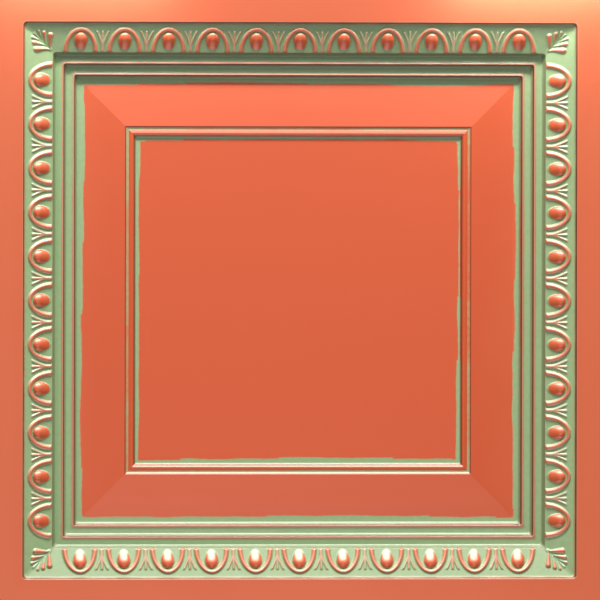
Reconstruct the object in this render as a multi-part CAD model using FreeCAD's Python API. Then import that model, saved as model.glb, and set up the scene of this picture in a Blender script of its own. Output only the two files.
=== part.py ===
import FreeCAD
import Part

import math
import os

V = FreeCAD.Vector

# A square ceiling tile pressed from one thin sheet. It lies face up on a level floor.
# Z is up, and the origin is on the floor under the middle of the tile. All sizes are millimetres.

# The sheet
TILE_SIDE = 606.0        # side of the square, a lay-in panel for a 24 inch grid
SHEET = 0.3              # thickness of the metal
FLANGE = 25.0            # flat border that rests on the ceiling grid

# Section of the coffer, from the border inward; a drop goes down from the face
STEP_RUN = 2.6           # short wall between the border and the ornament band
STEP_DROP = 4.0
BAND_RUN = 27.8          # sloped band that carries the ornament
BAND_DROP = 8.45
WALL_RUN = 2.7           # each of the three walls of the fluted moulding
WALL_DROP = 5.85
TREAD_RUN = 8.45         # each of the two flutes between the walls
TREAD_RISE = 1.0
RING_RUN = 6.6           # flat ring at the foot of the moulding
PANEL_RUN = 41.9         # raised panel that climbs back toward the middle
PANEL_RISE = 3.8
GROOVE_RUN = 2.9         # groove in front of the bead, with its outer wall
GROOVE_WALL = 1.2
GROOVE_DROP = 1.2
BEAD_RUN = 6.4           # bead round the flat middle field, with its outer and inner flanks
BEAD_OUTER = 1.0
BEAD_INNER = 2.2
FOOT_RADIUS = 4.0        # hollow at the foot of a wall
RING_RADIUS = 3.0        # the same at the foot of the last wall
CREST_RADIUS = 0.8       # bend at the top of a wall

# Egg-and-dart ornament, drawn for a band this long; places run from the band's outer edge down the slope
ORNAMENT_LONG = 29.05    # the ornament grows and shrinks with the band
LEAST_PITCH = 43.0       # from egg to egg at least
CORNER_ROOM = 27.6       # from the last egg to the band's inner corner
EGG_WIDTH = 12.2
EGG_BROAD = 7.6          # from the widest point to the round outer end
EGG_NARROW = 10.4        # from the widest point to the narrow inner end
EGG_HEIGHT = 3.6
EGG_PLACE = 16.1         # widest point of the egg
EGG_SIDES = 8            # flat sides round the egg
EGG_SHOULDER = 0.58      # share of the height where the sides draw in
EGG_WAIST = 0.78         # width left there, as a share
EGG_CAP = 0.36           # width of the flat top, as a share
ARCH_HALF = 15.2         # half the width of the arch round the egg, at its foot
ARCH_TALL = 23.2         # foot to crown
ARCH_FOOT = 28.2         # where the legs of the arch stop
CROWN_RADIUS = 11.0
CROWN_STEPS = 5          # flat lengths round the crown
LEG_STEPS = 2            # flat lengths down each leg
RIB_WIDTH = 5.0          # the arch's raised rib
RIB_HEIGHT = 1.9
PRONG_LONG = 20.5        # prongs of the dart between two arches
PRONG_WIDTH = 2.8
PRONG_HEIGHT = 1.2
PRONG_LEAN = 14.0        # degrees from prong to prong
PRONG_APART = 1.3        # from root to root
PRONG_PLACE = 27.6       # where the prongs are rooted
LANCE_PEAK = 0.6         # highest point of a prong or lobe, as a share of its length

# Lobes of the leaf in each corner, on either side of the mitre: root beyond the inner corner along the band,
# root up the slope, lean toward the mitre in degrees, length, width, height
LOBES = (
    (3.2, 4.2, -2.0, 17.0, 5.6, 2.0),
    (7.6, 9.6, 9.5, 12.6, 4.4, 1.7),
    (12.2, 15.3, 21.0, 8.4, 3.2, 1.2),
)

HALF = TILE_SIDE / 2
BAND_START = FLANGE + STEP_RUN
BAND_LONG = math.hypot(BAND_RUN, BAND_DROP)
BAND_SLOPE = math.degrees(math.atan2(BAND_DROP, BAND_RUN))
GROWTH = BAND_LONG / ORNAMENT_LONG
LIP_HALF = HALF - BAND_START - BAND_RUN
EGGS_EACH_WAY = int((LIP_HALF - CORNER_ROOM * GROWTH) / (LEAST_PITCH * GROWTH))
PITCH = (LIP_HALF - CORNER_ROOM * GROWTH) / EGGS_EACH_WAY
BITE = SHEET / 2         # how far a raised shape reaches into the sheet
SINK = 1.3 * SHEET       # how far its hollow lies under it; the metal thins on the flanks


def section_points():
    """Corners of the face line as (inset from the tile's edge, drop, bend radius)."""
    points = [(0, 0, 0), (FLANGE, 0, CREST_RADIUS)]
    inset, drop = BAND_START, STEP_DROP
    points.append((inset, drop, 0))
    inset, drop = inset + BAND_RUN, drop + BAND_DROP
    points.append((inset, drop, CREST_RADIUS))
    for flute in range(2):
        inset, drop = inset + WALL_RUN, drop + WALL_DROP
        points.append((inset, drop, FOOT_RADIUS))
        inset, drop = inset + TREAD_RUN, drop - TREAD_RISE
        points.append((inset, drop, CREST_RADIUS))
    inset, floor = inset + WALL_RUN, drop + WALL_DROP
    points.append((inset, floor, RING_RADIUS))
    inset = inset + RING_RUN
    points.append((inset, floor, 0))
    inset, drop = inset + PANEL_RUN, floor - PANEL_RISE
    points.append((inset, drop, 0))
    points.append((inset + GROOVE_WALL, drop + GROOVE_DROP, 0))
    inset = inset + GROOVE_RUN
    points.append((inset, drop + GROOVE_DROP, 0))
    points.append((inset + BEAD_OUTER, drop, CREST_RADIUS))
    points.append((inset + BEAD_RUN - BEAD_INNER, drop, CREST_RADIUS))
    points.append((inset + BEAD_RUN, floor, 0))
    points.append((HALF, floor, 0))
    return points, floor


def rounded_line(points):
    """An open wire of straight runs with an arc of the given radius at each corner."""
    edges = []
    start = points[0][0]
    for (before, _), (corner, radius), (after, _) in zip(points, points[1:], points[2:]):
        back = (before - corner).normalize()
        ahead = (after - corner).normalize()
        turn = math.pi - back.getAngle(ahead)
        reach = radius * math.tan(turn / 2)
        edges.append(Part.makeLine(start, corner + back * reach))
        start = corner + ahead * reach
        if radius > 0:
            deep = radius / math.cos(turn / 2) - radius
            middle = corner + (back + ahead).normalize() * deep
            edges.append(Part.Arc(corner + back * reach, middle, start).toShape())
    edges.append(Part.makeLine(start, points[-1][0]))
    return Part.Wire(edges)


def plain_sheet():
    """The coffered sheet without its ornament: one side's section, mitred, four times round."""
    points, floor = section_points()
    top = floor + SHEET
    line = rounded_line([(V(inset - HALF, -HALF, top - drop), r) for inset, drop, r in points])
    section = line.makeOffset2D(-SHEET, 2, True, True)
    run = section.extrude(V(0, TILE_SIDE, 0))
    triangle = Part.makePolygon([V(0, 0, -1), V(-HALF, HALF, -1), V(-HALF, -HALF, -1), V(0, 0, -1)])
    side = run.common(Part.Face(triangle).extrude(V(0, 0, top + 2)))
    sides = [side.rotated(V(0, 0, 0), V(0, 0, 1), 90 * quarter) for quarter in range(4)]
    return sides[0].fuse(sides[1:]).removeSplitter(), top


def skin(sections):
    """A solid through sections of as many points each; the last may be one point."""
    faces = []
    for low, high in zip(sections, sections[1:]):
        for k in range(len(low)):
            corners = [low[k - 1], low[k]]
            corners += [high[k], high[k - 1]] if len(high) > 1 else high
            faces.append(Part.Face(Part.makePolygon(corners + corners[:1])))
    for end in (sections[0], sections[-1]):
        if len(end) > 1:
            faces.append(Part.Face(Part.makePolygon(end + end[:1])))
    return Part.Solid(Part.Shell(faces))


def egg():
    """Flat-sided egg: a broad and a narrow half ellipse in two tiers that draw in to the top."""
    def ring(size, level):
        points = []
        for k in range(EGG_SIDES):
            angle = 2 * math.pi * k / EGG_SIDES
            long = EGG_NARROW if math.cos(angle) > 0 else EGG_BROAD
            across = size * EGG_WIDTH / 2 * math.sin(angle)
            points.append(V(across, EGG_PLACE + size * long * math.cos(angle), level))
        return points

    shoulder = EGG_SHOULDER * EGG_HEIGHT
    foot = 1 + (1 - EGG_WAIST) * BITE / shoulder
    return skin([ring(foot, -BITE), ring(EGG_WAIST, shoulder), ring(EGG_CAP, EGG_HEIGHT)])


def arch():
    """The rib round the egg: a ridge carried along a three-centred arch in flat lengths."""
    rise = ARCH_TALL - CROWN_RADIUS
    leg = (ARCH_HALF ** 2 + rise ** 2 - CROWN_RADIUS ** 2) / (2 * (ARCH_HALF - CROWN_RADIUS))
    joint = math.atan2(rise, leg - ARCH_HALF)
    stations = []
    for k in range(LEG_STEPS):
        stations.append((ARCH_HALF - leg, ARCH_FOOT, leg, joint * k / LEG_STEPS))
    for k in range(CROWN_STEPS + 1):
        angle = joint + (math.pi - 2 * joint) * k / CROWN_STEPS
        stations.append((0, ARCH_FOOT - rise, CROWN_RADIUS, angle))
    for k in range(LEG_STEPS):
        stations.append((leg - ARCH_HALF, ARCH_FOOT, leg, math.pi - joint * (LEG_STEPS - 1 - k) / LEG_STEPS))
    half = RIB_WIDTH / 2 * (1 + BITE / RIB_HEIGHT)
    sections = []
    for x, y, radius, angle in stations:
        out = V(math.cos(angle), -math.sin(angle), 0)
        centre = V(x, y, 0)
        foot = V(0, 0, -BITE)
        sections.append([
            centre + out * (radius - half) + foot,
            centre + out * (radius + half) + foot,
            centre + out * radius + V(0, 0, RIB_HEIGHT),
        ])
    return skin(sections)


def lance(long, width, height):
    """A leaf-shaped point, rooted at the origin and lying along -Y: a kite drawn up to a peak."""
    peak = V(0, -LANCE_PEAK * long, height)
    kite = [V(0, 0, 0), V(width / 2, peak.y, 0), V(0, -long, 0), V(-width / 2, peak.y, 0)]
    grow = 1 + BITE / height
    return skin([[peak + (p - peak) * grow for p in kite], [peak]])


def on_band(shape, along, down, turn=0.0):
    """A copy turned in the band's plane, grown with the band and moved to its place."""
    placed = shape.rotated(V(0, 0, 0), V(0, 0, 1), turn).scaled(GROWTH)
    placed.translate(V(along, down * GROWTH, 0))
    return placed


def band_ornament():
    """Everything that stands on one band, in the band's own plane."""
    one_egg, one_arch = egg(), arch()
    prong = lance(PRONG_LONG, PRONG_WIDTH, PRONG_HEIGHT)
    shapes = []
    for count in range(-EGGS_EACH_WAY, EGGS_EACH_WAY + 1):
        shapes += [on_band(one_egg, PITCH * count, 0), on_band(one_arch, PITCH * count, 0)]
    for count in range(-EGGS_EACH_WAY, EGGS_EACH_WAY):
        for lean in (-1, 0, 1):
            along = PITCH * (count + 0.5) + PRONG_APART * GROWTH * lean
            shapes.append(on_band(prong, along, PRONG_PLACE, PRONG_LEAN * lean))
    for beyond, up, lean, long, width, height in LOBES:
        for hand in (-1, 1):
            along = hand * (LIP_HALF + beyond * GROWTH)
            shapes.append(on_band(lance(long, width, height), along, ORNAMENT_LONG - up, hand * lean))
    return shapes


def set_round(shapes, top):
    """Copies of one band's shapes on all four bands."""
    placed = []
    for quarter in range(4):
        for shape in shapes:
            copy = shape.rotated(V(0, 0, 0), V(1, 0, 0), -BAND_SLOPE)
            copy.translate(V(0, BAND_START - HALF, top - STEP_DROP))
            copy.rotate(V(0, 0, 0), V(0, 0, 1), 90 * quarter)
            placed.append(copy)
    return placed


os.makedirs("parts", exist_ok=True)
sheet, face_level = plain_sheet()
raised = band_ornament()
hollows = [shape.translated(V(0, 0, -SINK)) for shape in raised]
tile = sheet.fuse(set_round(raised, face_level)).cut(set_round(hollows, face_level))
tile = tile.removeSplitter()
tile.exportStep("parts/pressed_tile.step")
print(tile.BoundBox)
print("solids", len(tile.Solids), "valid", tile.isValid(), "volume", tile.Volume, "faces", len(tile.Faces))
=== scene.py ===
# %% [markdown]
# # A pressed tin ceiling tile
#
# The real tile is one square of thin tinned steel, stamped between dies into a shallow coffer and then
# painted: copper first, then a green wash that stays in the hollows and is wiped off the high places. The
# model that comes with the frame already has the true size and all the main forms, with flat sides. This
# lesson makes the smooth pressing over it, in six closed pieces that meet at the tile's own edges, and
# then the paint, the light and the camera.

import math

import bpy
import numpy as np
from mathutils import Matrix, Vector


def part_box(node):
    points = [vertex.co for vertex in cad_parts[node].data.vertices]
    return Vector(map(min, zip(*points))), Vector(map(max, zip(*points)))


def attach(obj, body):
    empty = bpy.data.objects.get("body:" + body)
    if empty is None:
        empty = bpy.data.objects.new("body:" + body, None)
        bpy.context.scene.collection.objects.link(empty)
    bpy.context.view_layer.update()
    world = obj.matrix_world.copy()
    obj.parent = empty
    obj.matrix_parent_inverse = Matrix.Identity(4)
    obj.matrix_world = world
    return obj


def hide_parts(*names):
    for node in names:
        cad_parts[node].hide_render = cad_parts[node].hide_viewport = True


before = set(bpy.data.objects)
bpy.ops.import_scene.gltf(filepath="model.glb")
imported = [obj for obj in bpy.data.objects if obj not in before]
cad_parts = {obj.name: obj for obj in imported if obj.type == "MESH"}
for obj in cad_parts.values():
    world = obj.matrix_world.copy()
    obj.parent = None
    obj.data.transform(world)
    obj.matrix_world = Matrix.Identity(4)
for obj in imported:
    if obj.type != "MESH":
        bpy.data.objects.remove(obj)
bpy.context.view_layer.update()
MM = 0.001
low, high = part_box("pressed_tile")
HALF = (high.x - low.x) / 2 / MM
TOP = high.z / MM
print(f"the tile is {2 * HALF:.1f} mm square and {TOP:.1f} mm deep")

# %% [markdown]
# ## The section
#
# Cut through one side of the tile and the face is a single line: flat border, a short step, the sloped
# band, two hollow flutes, a ring, the raised panel, a groove, a bead and the flat field. It could be
# modelled with one inset and extrude after the other, but then every change means doing it all again.
# Drawing the line once and carrying it round the square is how the die maker works too, and it keeps all
# four sides alike. The line is a list of corners, each with its own bend, because sheet metal has no
# sharp corner.

# %% Runs and drops of the mouldings, in millimetres
FLANGE = 25.0
STEP_RUN, STEP_DROP = 2.6, 4.0
BAND_RUN, BAND_DROP = 27.8, 8.45
WALL_RUN, WALL_DROP = 2.7, 5.85
TREAD_RUN, TREAD_RISE = 8.45, 1.0
RING_RUN = 6.6
PANEL_RUN, PANEL_RISE = 41.9, 3.8
GROOVE_RUN, GROOVE_DROP = 2.9, 1.2
BEAD_RUN = 6.4
print(f"the flutes drop {WALL_DROP} mm at each wall and the panel rises {PANEL_RISE} mm")

# %% Insets from the tile's edge and depths below its border
BAND_START = FLANGE + STEP_RUN
LIP = BAND_START + BAND_RUN
CREST_1 = LIP + WALL_RUN + TREAD_RUN
CREST_2 = CREST_1 + WALL_RUN + TREAD_RUN
RING = CREST_2 + WALL_RUN
PANEL = RING + RING_RUN
GROOVE = PANEL + PANEL_RUN
BEAD = GROOVE + GROOVE_RUN
FIELD = BEAD + BEAD_RUN
LIP_DROP = STEP_DROP + BAND_DROP
FLUTE_1_DROP = LIP_DROP + WALL_DROP
CREST_1_DROP = FLUTE_1_DROP - TREAD_RISE
FLUTE_2_DROP = CREST_1_DROP + WALL_DROP
CREST_2_DROP = FLUTE_2_DROP - TREAD_RISE
FLOOR = CREST_2_DROP + WALL_DROP
BEAD_DROP = FLOOR - PANEL_RISE
GROOVE_FLOOR = BEAD_DROP + GROOVE_DROP
print(f"lip at {LIP:.1f}, panel at {PANEL:.1f} and field at {FIELD:.1f} mm from the edge")

# %% Corners of the face line
WALL_FOOT = 1.2 * WALL_RUN
TREAD_BEND = 3.6
GROOVE_SLOPE = 0.83 * GROOVE_RUN
BEAD_START = 0.11 * BEAD_RUN
BEAD_CREST = 0.72 * BEAD_RUN
BEAD_FOOT = 2.0
FIELD_MARGIN = 12
CREST_RADIUS, WALL_RADIUS, TREAD_RADIUS, GROOVE_RADIUS = 0.7, 1.8, 8.0, 0.3
corners = np.array([
    # inset, drop, radius of the bend
    (0, 0, 0),
    (FLANGE, 0, 0.9),
    (BAND_START, STEP_DROP, 0.6),
    (LIP, LIP_DROP, 0.5),
    (LIP + WALL_FOOT, FLUTE_1_DROP, WALL_RADIUS),
    (CREST_1 - TREAD_BEND, FLUTE_1_DROP, TREAD_RADIUS),
    (CREST_1, CREST_1_DROP, CREST_RADIUS),
    (CREST_1 + WALL_FOOT, FLUTE_2_DROP, WALL_RADIUS),
    (CREST_2 - TREAD_BEND, FLUTE_2_DROP, TREAD_RADIUS),
    (CREST_2, CREST_2_DROP, CREST_RADIUS),
    (CREST_2 + WALL_FOOT, FLOOR, WALL_RADIUS),
    (PANEL, FLOOR, 6.0),
    (GROOVE, BEAD_DROP, 0.5),
    (GROOVE + GROOVE_SLOPE, GROOVE_FLOOR, GROOVE_RADIUS),
    (BEAD + BEAD_START, GROOVE_FLOOR, GROOVE_RADIUS),
    (BEAD + BEAD_CREST, BEAD_DROP, 2.0),
    (FIELD + BEAD_FOOT, FLOOR, 0.9),
    (FIELD + FIELD_MARGIN, FLOOR, 0),
])
print(f"the face line has {len(corners)} corners and drops {FLOOR:.1f} mm")


# %% Bend the corners
def bent_line(corners, steps=7):
    """Each corner becomes an arc that touches both its runs: centre on the bisector, radius as listed."""
    point = corners[:, :2] * (1, -1)
    line = [point[:1]]
    for before, here, after, radius in zip(point, point[1:], point[2:], corners[1:-1, 2]):
        back = (before - here) / np.linalg.norm(before - here)
        ahead = (after - here) / np.linalg.norm(after - here)
        turn = np.arccos(np.clip(-back @ ahead, -1, 1))
        reach = radius * np.tan(turn / 2)
        middle = (back + ahead) / np.linalg.norm(back + ahead)
        centre = here + middle * radius / np.cos(turn / 2)
        first = here + back * reach - centre
        last = here + ahead * reach - centre
        part = np.linspace(0, 1, steps + 1)[:, None]
        arc = np.sin((1 - part) * turn) * first + np.sin(part * turn) * last
        line.append(centre + arc / np.sin(turn))
    line.append(point[-1:])
    return np.concatenate(line)


face_line = bent_line(corners)
print(f"the bent face line has {len(face_line)} points")

# %% [markdown]
# ## The thickness of the sheet
#
# Tin sheet is so thin that the back shows the same mouldings hollow. A Solidify modifier could add the
# back, but here the back is the face line moved square to itself, so that both lie in one closed loop and
# each knows which paint it gets. A piece takes only its own stretch of the line, with extra points where
# the paint changes.

# %% A stretch of the line and the back of the sheet
SHEET = 0.3
CLOSE = 0.01


def between(inset, start, stop):
    """The insets that lie between two ends, without those that nearly touch an end."""
    return inset[(inset > start + CLOSE) & (inset < stop - CLOSE)]


def stretch(start, stop, extra):
    """The part of the face line between two insets, with extra stations where the paint changes."""
    inside = between(face_line[:, 0], start, stop)
    wanted = between(extra, start, stop)
    inset = np.unique(np.concatenate([[start, stop], inside, wanted]).round(4))
    return np.stack([inset, np.interp(inset, face_line[:, 0], face_line[:, 1])], 1)


def back_of(line):
    """The same line moved square to itself by the sheet's thickness."""
    along = np.gradient(line, axis=0)
    along /= np.linalg.norm(along, axis=1, keepdims=True)
    return line + SHEET * np.stack([along[:, 1], -along[:, 0]], 1)


line_length = np.linalg.norm(np.diff(face_line, axis=0), axis=1).sum()
print(f"the face line is {line_length:.1f} mm long and the sheet {SHEET} mm thick")

# %% [markdown]
# ## Closed grids
#
# Every piece is a grid of points: across it runs the section, along it the side of the tile. Face and
# back of the sheet belong to one loop, so the piece has its true thickness and no open edge. Bridging
# edge loops by hand would do the same for one piece. A helper that joins a grid into quads, closes what
# is still open and turns everything outward does it for all six.


# %% Quads and end faces of a grid
def grid_faces(index, loop_rows, loop_columns):
    """Neighbours in rows and columns share a quad; the ends of an open direction get one flat face each."""
    near = index if loop_rows else index[:-1]
    far = np.roll(index, -1, 0) if loop_rows else index[1:]
    if not loop_columns:
        quads = np.stack([near[:, :-1], near[:, 1:], far[:, 1:], far[:, :-1]], -1)
        return quads, [index[:, 0], index[::-1, -1]]
    quads = np.stack([near, np.roll(near, -1, 1), np.roll(far, -1, 1), far], -1)
    return quads, [] if loop_rows else [index[0, ::-1], index[-1]]


def turned_outward(points, quads, ends):
    """The sum of corner times area over all quads is a volume; below zero, every face is turned round."""
    a, b, c, d = (points[quads[:, k]] for k in range(4))
    volume = np.einsum("ij,ij->", a, np.cross(b - a, c - a) + np.cross(c - a, d - a))
    if volume < 0:
        return quads[:, ::-1], [end[::-1] for end in ends]
    return quads, ends


# %% Make a piece from a grid
def closed_piece(name, grid, loop_rows, loop_columns, front_rows, notes, sharp_angle):
    """grid[r, c] is a point in millimetres; the first front_rows rows are the face, the others the back."""
    rows, columns = grid.shape[:2]
    points = grid.reshape(-1, 3)
    index = np.arange(rows * columns).reshape(rows, columns)
    quads, ends = grid_faces(index, loop_rows, loop_columns)
    is_back = np.broadcast_to((np.arange(len(quads)) >= front_rows - 1)[:, None], quads.shape[:2])
    end_is_back = [False] * len(ends) if loop_rows else [False, True]
    finish = np.concatenate([is_back.ravel(), end_is_back]).astype(np.int32)
    quads, ends = turned_outward(points, quads.reshape(-1, 4), ends)
    mesh = bpy.data.meshes.new(name)
    mesh.from_pydata(points * MM, [], quads.tolist() + [end.tolist() for end in ends])
    mesh.polygons.foreach_set("material_index", finish)
    for note, values in notes.items():
        values = np.broadcast_to(values, (rows, columns)).astype(np.float32)
        mesh.attributes.new(note, "FLOAT", "POINT").data.foreach_set("value", values.ravel())
    mesh.shade_smooth()
    mesh.set_sharp_from_angle(angle=math.radians(sharp_angle))
    piece = bpy.data.objects.new(name, mesh)
    bpy.context.scene.collection.objects.link(piece)
    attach(piece, "root")
    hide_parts("pressed_tile")
    print(f"{name}: {len(points)} points, {len(mesh.polygons)} faces")
    return piece


# %% [markdown]
# ## Round the square
#
# Where two sides of the coffer meet, the die has a small radius, because sheet tears in a sharp inside
# corner. A Bevel modifier would round every edge of the mesh by the same amount. Here the rounding is a
# value of its own at each inset: wide at the step beside the border, smaller further in, and next to
# nothing at the bead.

# %% Rounded inner corners
ROUNDING = np.array([
    # inset, radius seen from above
    (0, 0), (FLANGE - 6, 1.0), (FLANGE, 4.0), (BAND_START, 3.5), (LIP, 3.0), (RING, 2.5),
    (PANEL + 2, 2.0), (PANEL + 8, 0.3), (HALF, 0.3),
])
LEAST_RADIUS = 1e-6


def near_side(inset, share):
    """x and y on the near side: share * half along it, with the ends bent round an arc to the diagonal."""
    half = HALF - inset
    radius = np.maximum(np.interp(inset, ROUNDING[:, 0], ROUNDING[:, 1]), LEAST_RADIUS)
    straight = half - radius
    turn = np.clip((np.abs(share) * half - straight) / radius, 0, 1) * np.pi / 4
    x = np.sign(share) * (np.minimum(np.abs(share) * half, straight) + radius * np.sin(turn))
    return x, -(straight + radius * np.cos(turn))


print(f"inner corners are rounded by up to {ROUNDING[:, 1].max():.1f} mm")

# %% Carry a line round the square
CORNER_SHARE = 0.97
STRAIGHT_STATIONS, CORNER_STATIONS = 12, 14


def round_the_square(inset, level, share):
    """The near side from corner to corner, then the same turned by a quarter three times."""
    x, y = near_side(inset[:, None], share)
    z = level[:, None] + 0 * x
    sides = ((x, y, z), (-y, x, z), (-x, -y, z), (y, -x, z))
    return np.concatenate([np.stack(side, -1) for side in sides], 1)


half_side = np.concatenate([
    np.linspace(0, CORNER_SHARE, STRAIGHT_STATIONS)[:-1],
    np.linspace(CORNER_SHARE, 1, CORNER_STATIONS),
])
share = np.concatenate([-half_side[:0:-1], half_side[:-1]])[None, :]
print(f"{share.size} stations along each side")

# %% [markdown]
# ## Where the paint changes
#
# The green wash ends in brushed edges, so a plain on-or-off mask looks printed. Instead each point
# carries a signed distance in millimetres to the nearest paint edge: above zero is green, below zero
# copper. The material adds noise to it before it asks for the sign, and the edge wanders the way a brush
# does.
#
# Four more values ride along. The crests of the flutes are rubbed pale. Painted shade, a dark brown, lies
# where real shade falls: on the step below the border, on each wall under its crest, at the lip, in the
# groove and at the foot of the bead. Deeper green is painted shade in the outer flute, left out on the
# right side. And the brush was loose beside the panel and in the field but followed the mouldings
# closely. All of them are short lists of stops along the section, which is easier to adjust than a
# painted image.

# %% Paint edges across the section
crest_paint = np.array([(-2.9, 2.5), (-1.8, 0.1), (-0.9, -0.9), (0.9, -1.5), (1.4, 0), (2.0, 3)])
paint_stops = np.concatenate([
    # inset, signed distance to the paint edge
    [(0, -9), (FLANGE - 0.6, -4), (FLANGE + 0.7, -2), (FLANGE + 1.7, 0), (BAND_START, 3)],
    [(LIP, 5), (LIP + 4, 6)],
    crest_paint + (CREST_1, 0),
    [(CREST_1 + 4, 6)],
    crest_paint + (CREST_2, 0),
    [(RING + 1.5, 4), (PANEL - 0.2, 0), (PANEL + 9, -9)],
    [(GROOVE - 1, -9), (GROOVE + 0.5, -1.5), (GROOVE + 1.4, 0.2)],
    [(BEAD + 0.8, 0.2), (BEAD + 1.6, -2), (BEAD + 5, -4)],
    [(FIELD + 0.2, -1.5), (FIELD + 1.1, 1), (FIELD + 2, 3), (FIELD + 5.2, 0)],
    [(FIELD + FIELD_MARGIN, -6), (HALF, -9)],
])
print(f"the paint has {len(paint_stops)} stops")

# %% Rubbed crests
worn_edge = np.array([(-1.6, 0), (-1.0, 0.7), (-0.3, 0.7), (0.1, 0)])
worn_stops = np.concatenate([
    # inset, share of the paint that is rubbed pale
    [(0, 0)],
    worn_edge * (0.5, 0.6) + (FLANGE, 0),
    worn_edge + (CREST_1, 0),
    worn_edge + (CREST_2, 0),
    [(HALF, 0)],
])
print(f"crests are rubbed by up to {worn_stops[:, 1].max():.0%}")

# %% Painted shade on the walls and in the creases
# Painted shade: a dark brown on the walls and in the creases, standing in for the shade that falls there.
LIP_PAINTED_SHADE, LIP_PAINTED_SHADE_MOST = 1.2, 0.55
painted_shade_edge = np.array([(-0.2, 0), (0.1, 0.9), (1.0, 0.9), (1.7, 0)])
painted_shade_wall = np.array([
    (-0.2, 0), (0.1, 0.9), (1.0, 0.9), (1.6, 0.38), (WALL_RUN - 0.4, 0.38), (WALL_RUN + 0.6, 0),
])
painted_shade_lip = np.minimum(painted_shade_wall * (1, LIP_PAINTED_SHADE), (np.inf, LIP_PAINTED_SHADE_MOST))
painted_shade_stops = np.concatenate([
    # inset, share of painted shade
    [(0, 0)],
    painted_shade_edge + (FLANGE, 0),
    painted_shade_lip + (LIP, 0),
    painted_shade_wall + (CREST_1, 0),
    painted_shade_wall + (CREST_2, 0),
    painted_shade_edge * (0.7, 0.8) + (GROOVE, 0),
    painted_shade_edge * (1.2, 0.8) + (FIELD - 0.3, 0),
    [(HALF, 0)],
])
# This print gives how many stops carry the painted shade.
print(f"dark wash lies along {len(painted_shade_stops)} stops")

# %% Loose brush edges and painted shade in the outer flute
CLOSE_BRUSH = 0.2
# Painted shade: a deeper green in the outer flute, where the lip's wall shades it.
FLUTE_SHADE_MOST = 0.4
FLUTE = LIP + WALL_RUN
loose_stops = np.array([
    # inset, share of the brush's wandering
    (0, CLOSE_BRUSH), (CREST_2, CLOSE_BRUSH), (RING, 1), (GROOVE - 4, 1), (GROOVE, CLOSE_BRUSH),
    (FIELD - 1, CLOSE_BRUSH), (FIELD + 1, 1), (HALF, 1),
])
painted_flute_shade_stops = np.array([
    # inset, share of deeper green that is painted shade
    (0, 0), (FLUTE - 0.5, 0), (FLUTE + 0.5, FLUTE_SHADE_MOST), (FLUTE + 3, FLUTE_SHADE_MOST), (FLUTE + 6, 0), (HALF, 0),
])
# This print gives where the painted shade of the outer flute lies.
print(f"the wash pools from {FLUTE:.1f} to {FLUTE + 6:.1f} mm")

# %% Values at any inset
section_notes = {
    "paint_edge": paint_stops,
    "worn": worn_stops,
    "painted_shade": painted_shade_stops,
    "loose": loose_stops,
    "painted_flute_shade": painted_flute_shade_stops,
}
stops = np.concatenate(list(section_notes.values()))[:, 0]


def notes_across(inset):
    """The five values at each inset, straight between the stops."""
    return {name: np.interp(inset, *points.T)[:, None] for name, points in section_notes.items()}


print(f"{len(stops)} stations carry {', '.join(section_notes)}")

# %% [markdown]
# ## Border and coffer
#
# The border is the flat flange that lies on the ceiling bars, with the short step at its inner edge. The
# coffer is everything inside the band. Both are the section carried round the square; a Screw or Array
# modifier can't turn a square corner, and a grid can. Only the flat field in the middle has no section
# left to carry, so one flat face closes it on each side of the sheet.

# %% Border sheet
SHEET_SHARP = 30
front = stretch(0, BAND_START, stops)
loop = np.concatenate([front, back_of(front)[::-1]])
border = closed_piece(
    "border_sheet",
    round_the_square(loop[:, 0], TOP + loop[:, 1], share),
    True, True, len(front),
    notes_across(loop[:, 0]), SHEET_SHARP,
)

# %% Coffer sheet
front = stretch(LIP, FIELD + FIELD_MARGIN, stops)
loop = np.concatenate([front[::-1], back_of(front)])
coffer = closed_piece(
    "coffer_sheet",
    round_the_square(loop[:, 0], TOP + loop[:, 1], share),
    False, True, len(front),
    notes_across(loop[:, 0]), SHEET_SHARP,
)

# %% [markdown]
# ## The egg-and-dart band
#
# Each band is a sloped strip with the same relief pressed into it eleven times: an egg, the arch round
# it, and a three-pronged dart in every gap, with a leaf in the corners. Sculpting that by hand would give
# forty-four slightly different eggs. A height over the plain band, worked out for the whole strip at
# once, gives them all alike and keeps the corner leaves the same on both sides of the mitre. In these
# functions x runs along the band from the middle of one form, and up runs from the lip outward.

# %% Height of one rounded ridge
RIDGE_POWER = 0.9


def ridge(distance, half_width, height):
    """Rounded ridge: height * (1 - (distance / half_width)^2)^0.9, nothing beyond half_width."""
    return height * np.clip(1 - (distance / half_width) ** 2, 0, None) ** RIDGE_POWER


print(f"a ridge keeps {ridge(0.5, 1, 1):.0%} of its height half way down its side")

# %% Eggs
EGG_HALF_WIDTH, EGG_BROAD, EGG_NARROW, EGG_HEIGHT = 6.8, 7.0, 11.8, 4.0
EGG_FROM_LIP, EGG_FALL, EGG_SOFT = 12.8, 0.45, 0.3
EGG_CROWN, EGG_POWER = 1.15, 0.65


def egg_height(x, up):
    """Two straight falls, in and out, blended as (a + b - sqrt((a - b)^2 + soft^2)) / 2, with round ends.

    Across the egg the height goes as (1 - (x / width)^2)^0.65, and the width follows two half ellipses.
    """
    out = up - EGG_FROM_LIP
    off = out / np.where(out > 0, EGG_BROAD, EGG_NARROW)
    width = EGG_HALF_WIDTH * np.sqrt(np.clip(1 - off**2, 1e-6, None))
    inner_fall = EGG_CROWN + out / EGG_NARROW
    outer_fall = EGG_CROWN - EGG_FALL * out / EGG_BROAD
    crown = (inner_fall + outer_fall - np.hypot(inner_fall - outer_fall, EGG_SOFT)) / 2
    crown = crown * np.sqrt(np.clip(1 - off**4, 0, None))
    return EGG_HEIGHT * crown * np.clip(1 - (x / width) ** 2, 0, None) ** EGG_POWER


print(f"an egg is {2 * EGG_HALF_WIDTH:.1f} mm wide and {EGG_BROAD + EGG_NARROW:.1f} mm long")

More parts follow.
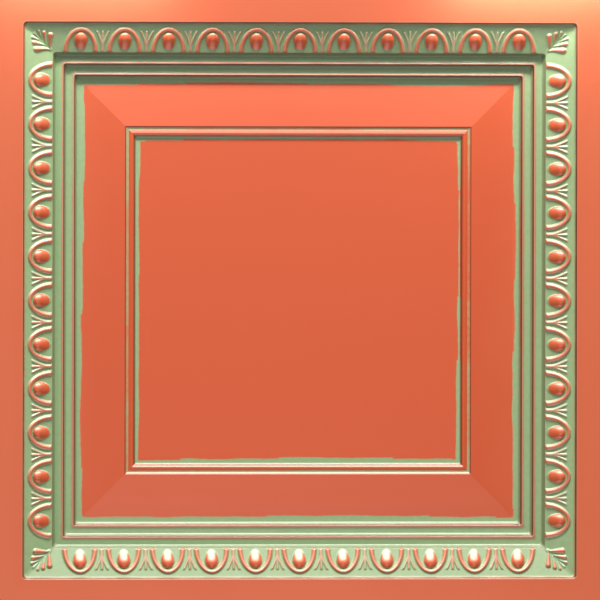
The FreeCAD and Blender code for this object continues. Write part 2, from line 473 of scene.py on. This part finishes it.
# %% Arches
ARCH_HALF, ARCH_TALL, RIB_HEIGHT = 15.2, 23.0, 2.0
RIB_HALF_LEG, RIB_HALF_CROWN = 2.9, 2.4


def arch_height(x, up):
    """Ridge along the half ellipse (x / a)^2 + (up / b)^2 = 1, a little narrower at its crown.

    With f = sqrt((x / a)^2 + (up / b)^2), the distance to it is about f * (f - 1) / |(x / a^2, up / b^2)|.
    """
    reach = np.hypot(x / ARCH_HALF, up / ARCH_TALL)
    steep = np.hypot(x / ARCH_HALF**2, up / ARCH_TALL**2)
    distance = reach * (reach - 1) / np.maximum(steep, 1e-6)
    half = RIB_HALF_CROWN + (RIB_HALF_LEG - RIB_HALF_CROWN) * np.clip(1 - up / ARCH_TALL, 0, 1)
    return ridge(distance, half, RIB_HEIGHT)


print(f"an arch is {2 * ARCH_HALF:.1f} mm wide and {ARCH_TALL:.1f} mm tall")

# %% Darts
PRONG_LONG, PRONG_SPREAD, PRONG_HALF, PRONG_HEIGHT = 21.5, 6.3, 1.45, 1.2
STEM_HALF, STEM_SHARE, FAN_POWER = 0.4, 0.3, 1.3
PRONG_TIP, PRONG_TAPER, MIDDLE_TALLER = 1.6, 0.15, 1.1


def dart_height(x, up):
    """One stem up to a third of the length, then three ridges; the outer two fan out as part^1.3."""
    part = np.clip(up / PRONG_LONG, 0, 1.2)
    opened = np.clip((part - STEM_SHARE) / (1 - STEM_SHARE), 0, None) ** FAN_POWER
    fan = STEM_HALF + (PRONG_SPREAD - STEM_HALF) * opened
    end = np.sqrt(np.clip((PRONG_LONG - up) / PRONG_TIP, 0, 1))
    half = PRONG_HALF * (1 + PRONG_TAPER * (1 - part))
    sides = ridge(np.abs(x) - fan, half, PRONG_HEIGHT)
    middle = ridge(x, half, MIDDLE_TALLER * PRONG_HEIGHT)
    return np.maximum(sides, middle) * end


print(f"a dart is {PRONG_LONG} mm long and opens to {2 * PRONG_SPREAD:.1f} mm")

# %% Corner leaves
LOBES = (
    # root along, root up, tip along, tip up, half width at the tip, height
    (3.4, 2.2, 2.8, 16.8, 3.2, 2.2),
    (7.6, 9.0, 9.3, 19.2, 2.5, 1.8),
    (12.2, 14.4, 14.6, 20.6, 1.9, 1.3),
    (15.6, 15.6, 19.4, 19.4, 1.6, 0.9),
)
ROOT, LOBE_POWER = 0.4, 1.5


def leaf_height(along, up):
    """Ridges along straight lines from a thin root to a round tip, measured from the inner corner."""
    height = np.zeros(np.broadcast(along, up).shape)
    for root_a, root_u, tip_a, tip_u, half, tall in LOBES:
        run_a = tip_a - root_a
        run_u = tip_u - root_u
        for a, u in ((along, up), (up, along)):
            part = ((a - root_a) * run_a + (u - root_u) * run_u) / (run_a**2 + run_u**2)
            part = np.clip(part, 0, 1)
            off = np.hypot(a - root_a - part * run_a, u - root_u - part * run_u)
            lobe_half = half * (ROOT + (1 - ROOT) * part**LOBE_POWER)
            lobe_tall = tall * (ROOT + (1 - ROOT) * part)
            height = np.maximum(height, ridge(off, lobe_half, lobe_tall))
    return height


print(f"a leaf has {2 * len(LOBES)} lobes")

# %% The whole relief
PITCH = 44.0
EGGS_EACH_WAY = 5
LIP_GAP, LIP_ROOM = 0.2, 0.7
WIPING = (
    # height where wiping starts, height over which it grows, how bare, how pale
    (0.4, 1.0, 1.0, 0.0),
    (0.6, 0.9, 1.0, 0.3),
    (0.5, 0.6, 0.55, 0.5),
    (0.6, 0.8, 0.9, 0.2),
)


def relief(x, up):
    """Height over the plain band, how far the wiping has bared the copper, and how far that is worn pale.

    A form of height h is wiped by (h - start) / growth, kept between 0 and 1; the most wiped form counts.
    """
    from_egg = x - PITCH * np.clip(np.round(x / PITCH), -EGGS_EACH_WAY, EGGS_EACH_WAY)
    from_gap = x - PITCH * (np.clip(np.floor(x / PITCH), -EGGS_EACH_WAY, EGGS_EACH_WAY - 1) + 0.5)
    forms = np.stack([
        egg_height(from_egg, up),
        arch_height(from_egg, up),
        dart_height(from_gap, up) * (np.abs(x) < EGGS_EACH_WAY * PITCH),
        leaf_height(np.abs(x) - (HALF - LIP), up),
    ])
    height = forms.max(0) * np.clip((up - LIP_GAP) / LIP_ROOM, 0, 1)
    start, growth, most_bare, most_pale = np.array(WIPING).T[..., None, None]
    wiped = np.clip((forms - start) / growth, 0, 1)
    return height, (most_bare * wiped).max(0), (most_pale * wiped).max(0)


print(f"{2 * EGGS_EACH_WAY + 1} eggs and {2 * EGGS_EACH_WAY} darts along each band")

# %% Height and paint of one band
BAND_ROWS, BAND_COLUMNS = 48, 901
WASH = 5
across = np.linspace(BAND_START, LIP, BAND_ROWS)[:, None]
along = np.linspace(-1, 1, BAND_COLUMNS)[None, :]
height, bare, worn = relief(along * (HALF - across), LIP - across)
band_notes = {
    "paint_edge": np.concatenate([(0.5 - bare) * WASH, np.full_like(bare, WASH)]),
    "worn": np.concatenate([worn, np.zeros_like(worn)]),
    "painted_shade": np.zeros((1, 1)),
    "loose": np.full((1, 1), CLOSE_BRUSH),
    "painted_flute_shade": np.zeros((1, 1)),
}
print(f"relief is up to {height.max():.1f} mm high")

# %% Four bands
RELIEF_SHARP = 50
plain = TOP + np.interp(across, face_line[:, 0], face_line[:, 1])
front = np.stack([*near_side(across, along), plain + height], -1)
back = front - (0, 0, SHEET * math.hypot(1, BAND_DROP / BAND_RUN))
strip = np.concatenate([front, back[::-1]])
bands = []
for side in ("near", "right", "far", "left"):
    bands.append(closed_piece(f"band_{side}", strip, True, False, len(front), band_notes, RELIEF_SHARP))
    strip = np.stack([-strip[..., 1], strip[..., 0], strip[..., 2]], -1)

# %% [markdown]
# ## Copper paint and green wash
#
# The face is a satin copper paint with a thin green wash over it. The copper holds fine metal flakes, so
# it is a little metallic; the wash is plain paint; and a clear coat over both gives the soft white gloss.
# It could be an image painted over the tile, but that has a fixed sharpness and needs unwrapping. One
# procedural material holds both paints and chooses between them with the values that the pieces carry.


# %% Node helpers
def add(tree, kind, settings=(), **inputs):
    """A node with its properties set and its inputs either linked or given a value."""
    made = tree.nodes.new(kind)
    for key, value in settings:
        setattr(made, key, value)
    for key, value in inputs.items():
        socket = made.inputs[int(key[1:])] if key[1:].isdigit() else made.inputs[key.replace("_", " ")]
        if isinstance(value, bpy.types.NodeSocket):
            tree.links.new(value, socket)
        else:
            socket.default_value = value
    return made


def carried(tree, name):
    """The value that a piece carries at each of its points under this name."""
    return add(tree, "ShaderNodeAttribute", [("attribute_name", name)]).outputs["Fac"]


def noise(tree, place, scale, detail):
    """Soft noise from 0 to 1 at a place in metres."""
    return add(tree, "ShaderNodeTexNoise", Vector=place, Scale=scale, Detail=detail).outputs["Fac"]


# %% Sums and blends
def reckon(tree, operation, *values):
    """One Math node with two or three values; MULTIPLY_ADD gives first * second + third."""
    inputs = {f"_{number}": value for number, value in enumerate(values)}
    return add(tree, "ShaderNodeMath", [("operation", operation)], **inputs).outputs[0]


def blend(tree, share, first, second):
    """A colour between two: first * (1 - share) + second * share."""
    return add(tree, "ShaderNodeMix", [("data_type", "RGBA")], _0=share, _6=first, _7=second).outputs[2]


def new_finish(name):
    """An empty material, its node tree, and the place on the object in metres."""
    material = bpy.data.materials.new(name)
    material.use_nodes = True
    tree = material.node_tree
    tree.nodes.clear()
    return material, tree, add(tree, "ShaderNodeTexCoord").outputs["Object"]


# %% The brushed edge of the wash
SLOW_SCALE, SLOW_WANDER = 22.0, 4.0
STROKE_SCALE, STROKE_STEP, STROKE_WANDER = 3.5, 0.12, 9.0
WANDER_SHIFT = -6.5
RAGGED = 0.8
EDGE_SOFT = 0.7


def green_share(tree, place, fleck):
    """Paint edge + loose * (slow noise + strokes + shift) + fine noise, as 0 to 1 over a soft edge."""
    slow = noise(tree, place, SLOW_SCALE, 3.0)
    stroke = reckon(tree, "SNAP", noise(tree, place, STROKE_SCALE, 0.0), STROKE_STEP)
    wander = reckon(tree, "MULTIPLY_ADD", slow, SLOW_WANDER, WANDER_SHIFT)
    wander = reckon(tree, "MULTIPLY_ADD", stroke, STROKE_WANDER, wander)
    wander = reckon(tree, "MULTIPLY", wander, carried(tree, "loose"))
    ragged = reckon(tree, "MULTIPLY_ADD", fleck, RAGGED, -RAGGED / 2)
    moved = reckon(tree, "ADD", carried(tree, "paint_edge"), wander)
    moved = reckon(tree, "ADD", moved, ragged)
    return add(
        tree, "ShaderNodeMapRange", [("interpolation_type", "SMOOTHSTEP")],
        Value=moved, From_Min=-EDGE_SOFT, From_Max=EDGE_SOFT,
    ).outputs[0]


print(f"brush strokes shift the edge in steps of {STROKE_STEP * STROKE_WANDER:.1f} mm")

# %% Copper paint
# Painted light: the field's copper is a shaded copy for the recess, the border's a lit copy.
COPPER_FIELD_SHADED = (0.560, 0.083, 0.024, 1)
COPPER_BORDER_LIT = (0.592, 0.116, 0.043, 1)
CLOUD_SCALE, CLOUD_WIDTH = 7.0, 0.08
LIT_FROM, LIT_TO = 0.23, 0.34


def copper_paint(tree, place):
    """Painted light: a shaded field and a lit border, blended by max(|x|, |y|) plus slow clouds."""
    cloud = noise(tree, place, CLOUD_SCALE, 4.0)
    apart = add(tree, "ShaderNodeVectorMath", [("operation", "ABSOLUTE")], _0=place).outputs[0]
    apart = add(tree, "ShaderNodeSeparateXYZ", Vector=apart).outputs
    outward = reckon(tree, "MAXIMUM", apart[0], apart[1])
    outward = reckon(tree, "MULTIPLY_ADD", cloud, CLOUD_WIDTH, outward)
    lit_share = add(tree, "ShaderNodeMapRange", Value=outward, From_Min=LIT_FROM, From_Max=LIT_TO).outputs[0]
    return blend(tree, lit_share, COPPER_FIELD_SHADED, COPPER_BORDER_LIT)


# This print gives where the lit copy of the copper takes over.
print(f"the copper gets paler up to about {LIT_TO / MM:.0f} mm from the middle")

# %% Green wash
GREEN = (0.175, 0.250, 0.102, 1)
GREEN_PALE = (0.226, 0.300, 0.155, 1)
# Painted shade: the deeper green of the outer flute.
GREEN_SHADED = (0.100, 0.200, 0.060, 1)
FLUTE_SHADE_FADE_FROM, FLUTE_SHADE_FADE_TO = 0.1, 0.24


def green_wash(tree, place, fleck):
    """Two greens blended by fine noise, and deeper green as painted shade in the outer flute."""
    wash = blend(tree, fleck, GREEN, GREEN_PALE)
    x = add(tree, "ShaderNodeSeparateXYZ", Vector=place).outputs[0]
    # The painted shade is full left of x = 0.1 m and fades out by 0.24 m, so the right side has none.
    shade_kept = add(
        tree, "ShaderNodeMapRange",
        Value=x, From_Min=FLUTE_SHADE_FADE_FROM, From_Max=FLUTE_SHADE_FADE_TO, To_Min=1.0, To_Max=0.0,
    ).outputs[0]
    painted_flute_shade = reckon(tree, "MULTIPLY", carried(tree, "painted_flute_shade"), shade_kept)
    return blend(tree, painted_flute_shade, wash, GREEN_SHADED)


# This print gives where the painted shade of the outer flute ends.
print(f"pooled wash fades out at {FLUTE_SHADE_FADE_TO / MM:.0f} mm to the right of the middle")

# %% Face finish
WORN = (0.400, 0.300, 0.195, 1)
# Painted shade: the dark brown laid on walls and creases where shade falls.
PAINTED_SHADE = (0.065, 0.030, 0.015, 1)
FLECK_SCALE = 240.0
COPPER_METAL, COPPER_ROUGH, GREEN_ROUGH = 0.3, 0.4, 0.5
COAT_ROUGH = 0.4


def face_finish():
    """Copper and green by the brushed edge, then rubbed crests and painted shade, under a clear satin coat.
    """
    material, tree, place = new_finish("copper_and_green")
    fleck = noise(tree, place, FLECK_SCALE, 2.0)
    green = green_share(tree, place, fleck)
    colour = blend(tree, green, copper_paint(tree, place), green_wash(tree, place, fleck))
    colour = blend(tree, carried(tree, "worn"), colour, WORN)
    # Painted shade darkens the walls and creases.
    colour = blend(tree, carried(tree, "painted_shade"), colour, PAINTED_SHADE)
    metal = add(tree, "ShaderNodeMapRange", Value=green, To_Min=COPPER_METAL, To_Max=0.0).outputs[0]
    rough = add(tree, "ShaderNodeMapRange", Value=green, To_Min=COPPER_ROUGH, To_Max=GREEN_ROUGH).outputs[0]
    grain = add(tree, "ShaderNodeBump", Strength=0.05, Distance=0.0004, Height=fleck).outputs[0]
    shader = add(
        tree, "ShaderNodeBsdfPrincipled",
        Base_Color=colour, Metallic=metal, Roughness=rough, Normal=grain,
        Coat_Weight=1.0, Coat_Roughness=COAT_ROUGH,
    )
    add(tree, "ShaderNodeOutputMaterial", Surface=shader.outputs[0])
    return material


print(f"copper is {COPPER_METAL:.0%} metallic under a coat of roughness {COAT_ROUGH}")

# %% [markdown]
# ## Tinned back
#
# The back of the tile is bare tinned steel, grey and dull, with the faint flowers that tin makes as it
# sets. An image of tin would have to be unwrapped, so the cells of a Voronoi pattern vary the grey and
# the gloss instead.

# %% Back finish
TIN_DARK = (0.52, 0.52, 0.51, 1)
TIN_PALE = (0.62, 0.62, 0.62, 1)
FLOWER_SCALE = 60.0
TIN_SMOOTH, TIN_ROUGH = 0.32, 0.48
TIN_METAL = 0.85


def back_finish():
    """Grey and gloss follow the distance to the middle of each flower."""
    material, tree, place = new_finish("tinned_back")
    flower = add(tree, "ShaderNodeTexVoronoi", Vector=place, Scale=FLOWER_SCALE).outputs["Distance"]
    colour = blend(tree, flower, TIN_DARK, TIN_PALE)
    rough = add(tree, "ShaderNodeMapRange", Value=flower, To_Min=TIN_SMOOTH, To_Max=TIN_ROUGH).outputs[0]
    shader = add(
        tree, "ShaderNodeBsdfPrincipled",
        Base_Color=colour, Roughness=rough, Metallic=TIN_METAL,
    )
    add(tree, "ShaderNodeOutputMaterial", Surface=shader.outputs[0])
    return material


print(f"tin flowers are about {1 / FLOWER_SCALE / MM:.0f} mm wide")

# %% Put on the finishes
face = face_finish()
tin = back_finish()
for piece in (border, coffer, *bands):
    piece.data.materials.append(face)
    piece.data.materials.append(tin)
print("finishes:", face.name, tin.name)

# %% [markdown]
# ## Floor
#
# The tile lies face up on its flat field, so the border stands clear of the floor all round. A plain pale
# square is enough to catch the shadow under it, and a dull one doesn't mirror the lamps.

# %% Floor
FLOOR_HALF = 4
FLOOR_GREY = (0.56, 0.56, 0.55, 1)
FLOOR_ROUGH = 0.9
floor_corners = [
    (-FLOOR_HALF, -FLOOR_HALF, 0), (FLOOR_HALF, -FLOOR_HALF, 0),
    (FLOOR_HALF, FLOOR_HALF, 0), (-FLOOR_HALF, FLOOR_HALF, 0),
]
floor_mesh = bpy.data.meshes.new("floor")
floor_mesh.from_pydata(floor_corners, [], [(0, 1, 2, 3)])
floor = bpy.data.objects.new("floor", floor_mesh)
bpy.context.scene.collection.objects.link(floor)
floor_paint = bpy.data.materials.new("pale_floor")
floor_paint.use_nodes = True
floor_shader = floor_paint.node_tree.nodes["Principled BSDF"]
floor_shader.inputs["Base Color"].default_value = FLOOR_GREY
floor_shader.inputs["Roughness"].default_value = FLOOR_ROUGH
floor_mesh.materials.append(floor_paint)
print(f"the floor is {2 * FLOOR_HALF} m square")

# %% [markdown]
# ## Light
#
# Low relief shows only in light from one side. A wide low window beyond the far side does most of the
# work: it leaves the far mouldings in shade and catches every slope that faces it. Two softer lamps above
# it brighten the far part of the copper, and two small strips beside the far border make its two bright
# places. Weaker lamps on the near side lift the shade; one of them is kept out of the gloss, so that the
# paint doesn't shine twice. A single sun would be simpler, but its small hard shine makes satin paint
# look like plastic.


# %% A soft lamp
def window(name, place, size, power, target=(0, 0, 0), mirrored=True):
    """A rectangular soft light that looks at its target; a fill light is not mirrored in the gloss."""
    lamp = bpy.data.lights.new(name, "AREA")
    lamp.shape = "RECTANGLE"
    lamp.size, lamp.size_y = size
    lamp.energy = power
    made = bpy.data.objects.new(name, lamp)
    made.location = place
    made.rotation_euler = (Vector(target) - Vector(place)).to_track_quat("-Z", "Y").to_euler()
    made.visible_glossy = mirrored
    made.visible_camera = False
    bpy.context.scene.collection.objects.link(made)
    print(f"{name}: {power} W")


# %% Lamps: name, place and size in metres, power in watts
window("far_window", (0.0, 2.5, 1.18), (3.4, 0.35), 232)
window("far_sky", (0.0, 1.4, 1.4), (1.6, 0.4), 13)
window("far_edge", (0.0, 0.6, 1.3), (1.2, 0.4), 1.2)
window("strip_left", (-0.22, 0.335, 0.065), (0.18, 0.03), 0.2, target=(-0.22, 0.29, 0.028))
window("strip_right", (0.24, 0.335, 0.065), (0.18, 0.03), 0.34, target=(0.24, 0.29, 0.028))
window("near_window", (0.0, -2.05, 0.7), (1.6, 0.4), 11)
window("near_edge", (0.0, -0.75, 0.8), (1.0, 0.25), 3.0, mirrored=False)
window("near_sky", (0.0, -0.9, 2.2), (1.0, 0.3), 5.0)

# %% Light of the room
ROOM_LIGHT = 0.01
world = bpy.data.worlds.new("room")
bpy.context.scene.world = world
world.use_nodes = True
world.node_tree.nodes["Background"].inputs["Color"].default_value = (1, 1, 1, 1)
world.node_tree.nodes["Background"].inputs["Strength"].default_value = ROOM_LIGHT
print(f"the room adds {ROOM_LIGHT} of white")

# %% [markdown]
# ## Camera
#
# A tile is shown straight from above, so that its square stays square. An orthographic camera would do
# that exactly; a long lens from far off does nearly the same and keeps a trace of depth. The view leans a
# little to the left, which shows more of the walls on the right, and the frame ends just inside the
# tile's edge.

# %% Camera
SEEN = 0.5992
DISTANCE = 12.0
SENSOR = 36
lean_left = math.radians(5.6)
lean_far = math.radians(0.6)
roll = math.radians(0.11)
aim = Vector((-0.0006, 0.0007, TOP * MM))
toward = Vector((-math.tan(lean_left), math.tan(lean_far), 1)).normalized()
right = Vector((0, 1, 0)).cross(toward).normalized()
up = toward.cross(right)
turned = Matrix((right, up, toward)).transposed().to_4x4() @ Matrix.Rotation(roll, 4, "Z")
camera = bpy.data.cameras.new("camera")
camera.sensor_width = SENSOR
camera.lens = SENSOR * DISTANCE / SEEN
camera.clip_end = 100
viewer = bpy.data.objects.new("camera", camera)
viewer.matrix_world = Matrix.Translation(aim + toward * DISTANCE) @ turned
bpy.context.scene.collection.objects.link(viewer)
bpy.context.scene.camera = viewer
bpy.context.scene.view_settings.view_transform = "Standard"
print(f"the camera sees {SEEN * 1000:.0f} mm through a lens of {camera.lens:.0f} mm")
